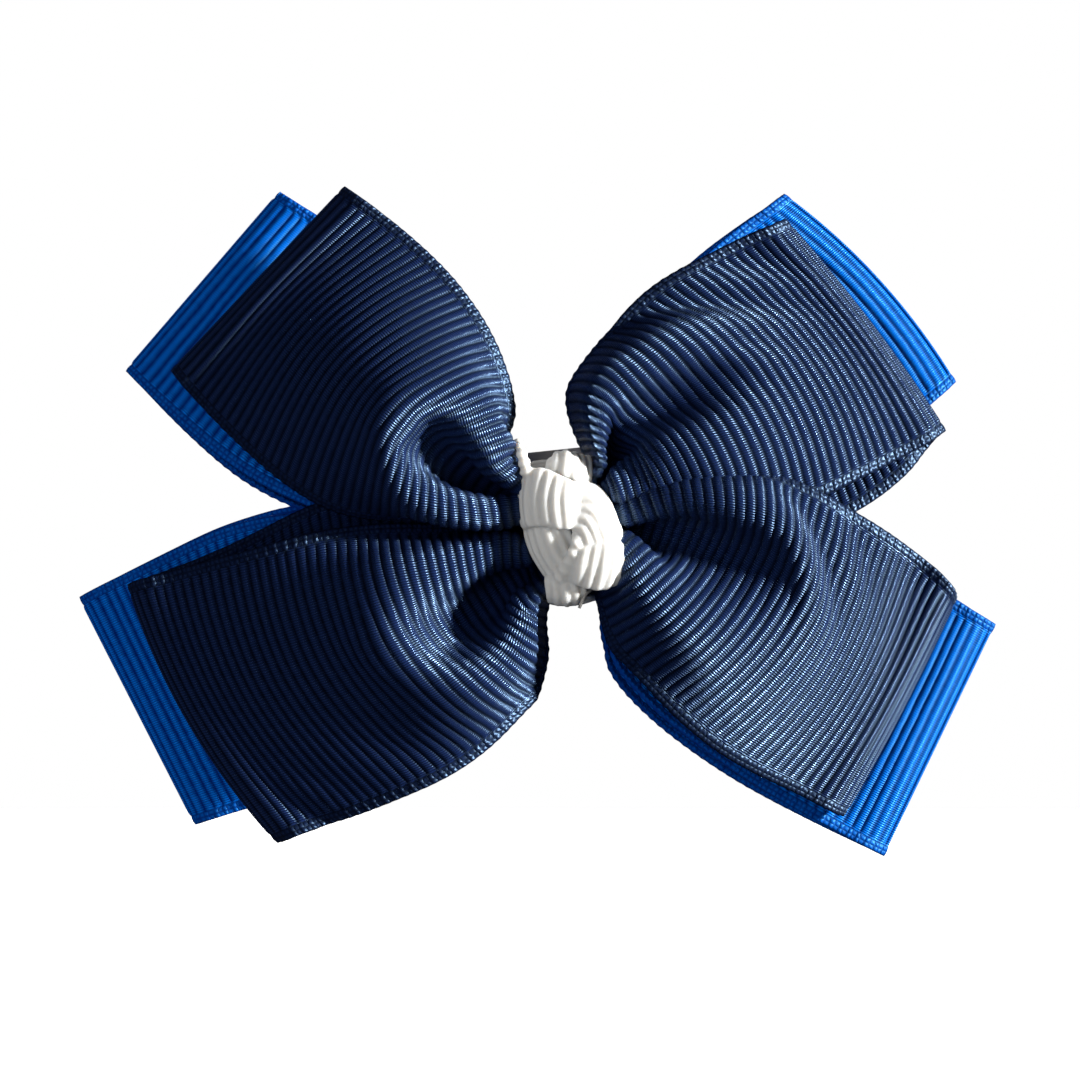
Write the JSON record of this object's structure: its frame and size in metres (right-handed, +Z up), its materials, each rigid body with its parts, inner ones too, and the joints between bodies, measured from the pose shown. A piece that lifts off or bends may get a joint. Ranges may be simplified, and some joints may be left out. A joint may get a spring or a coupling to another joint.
{
  "type": "hair bow clip",
  "caption": "Double-layer ribbon bow of crossed, gathered loops with a knotted centre ribbon, on a sprung toothed hair clip.",
  "frame": {"origin": "middle of the grip: the point on the rear face of the clip's fixed arm straight behind the knot, where the hair lies", "axes": "+X to the right of someone facing the bow, +Z up as worn, +Y back towards the head, so the front of the bow faces -Y"},
  "size_m": [0.0839, 0.0295, 0.0627],
  "materials": {
    "navy_ribbon": "navy grosgrain ribbon with cross ribs and stitched-looking selvedges",
    "royal_ribbon": "royal-blue grosgrain ribbon, slightly lustrous",
    "white_ribbon": "white narrow grosgrain ribbon",
    "hot_melt_glue": "cloudy hot-melt glue",
    "steel_wire": "bright steel wire",
    "clip_steel": "satin nickel-plated steel"
  },
  "bodies": {
    "bow": {"navy_front_strip": "navy_ribbon", "navy_rear_strip": "navy_ribbon", "royal_front_strip": "royal_ribbon", "royal_rear_strip": "royal_ribbon", "centre_ribbon": "white_ribbon", "navy_gather_wire": "steel_wire", "royal_gather_wire": "steel_wire", "glue_between_bows": "hot_melt_glue", "glue_on_clip": "hot_melt_glue", "clip_fixed_arm": "clip_steel", "clip_pin": "steel_wire", "clip_spring": "steel_wire"},
    "jaw": {"clip_jaw": "clip_steel"}
  },
  "joints": [
    {"name": "jaw_hinge", "type": "hinge", "parent": "bow", "child": "jaw", "pos_m": [0.00696, 0.0022, 0.00313], "axis": [0.1045, 0, -0.9945], "range_deg": [0, 25], "stiffness_Nm_per_rad": 0.15, "springref_deg": -22.92, "deforming": ["clip_spring"]}
  ]
}
